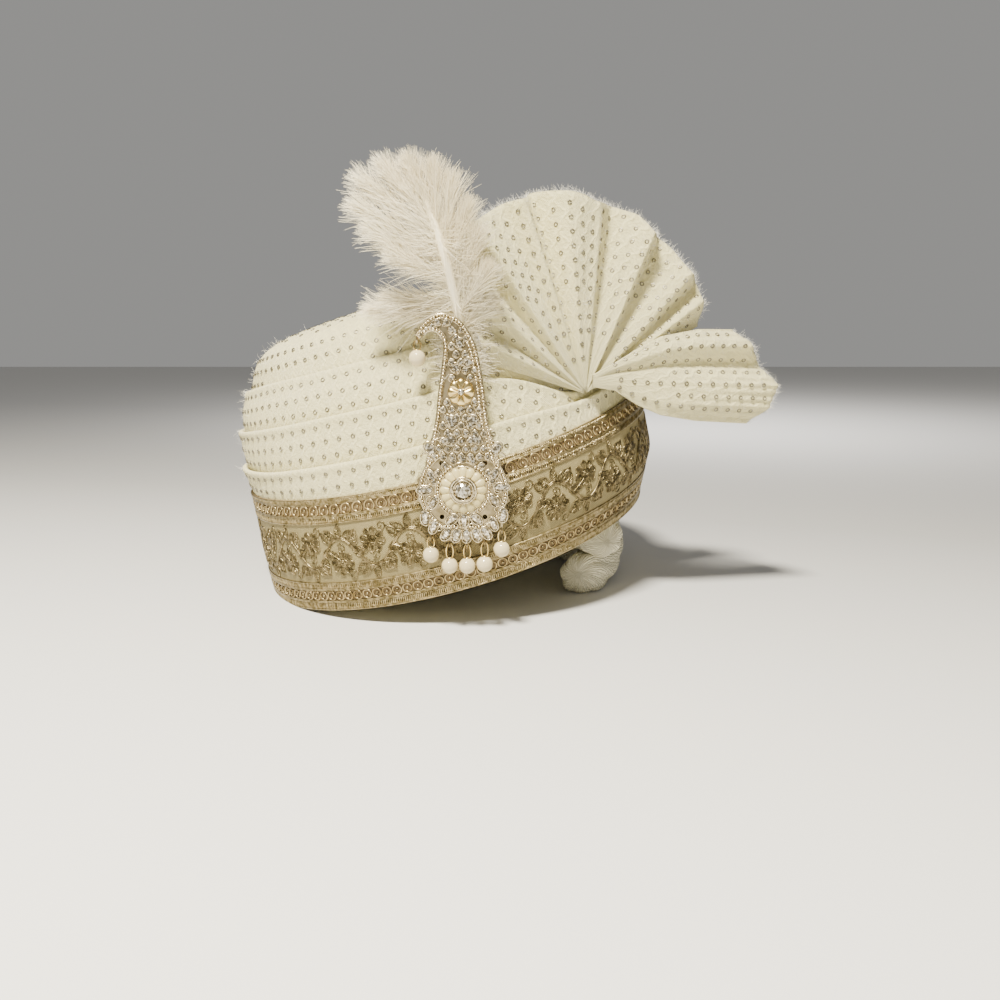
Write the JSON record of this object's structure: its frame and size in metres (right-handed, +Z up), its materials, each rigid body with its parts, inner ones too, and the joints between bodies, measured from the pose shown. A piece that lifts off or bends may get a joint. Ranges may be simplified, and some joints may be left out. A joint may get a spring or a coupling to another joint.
{
  "type": "tied turban",
  "caption": "Wound ivory cloth wedding turban with a lace rim band, a pleated side fan and tail, a twisted nape roll and a plumed brooch with pearl drops",
  "frame": {"origin": "middle of the plan, on the surface that the turban rests on", "axes": "+Z up, -Y towards the brooch side, +X towards the fan and nape roll"},
  "size_m": [0.2998, 0.2226, 0.223],
  "materials": {
    "cloth": "ivory sequined cloth",
    "lace": "cream ground with champagne metal thread",
    "silver": "bright cast metal with set crystals",
    "enamel": "cream enamel",
    "stone": "clear cut stone",
    "gilt": "pale gilt",
    "pearl": "cream pearl",
    "feather": "soft white feather"
  },
  "bodies": {
    "root": {"wrap_1": "cloth", "wrap_2": "cloth", "wrap_3": "cloth", "wrap_4": "cloth", "lace_band": "lace", "fan": "cloth", "tail": "cloth", "nape_roll": "cloth", "brooch_plate": "silver", "brooch_flower": "enamel", "brooch_stone": "stone", "stem_flower": "gilt", "drop_pearl_1": "pearl", "drop_pearl_2": "pearl", "drop_pearl_3": "pearl", "drop_pearl_4": "pearl", "drop_pearl_5": "pearl", "hook_pearl": "pearl", "plume": "feather"}
  },
  "joints": []
}
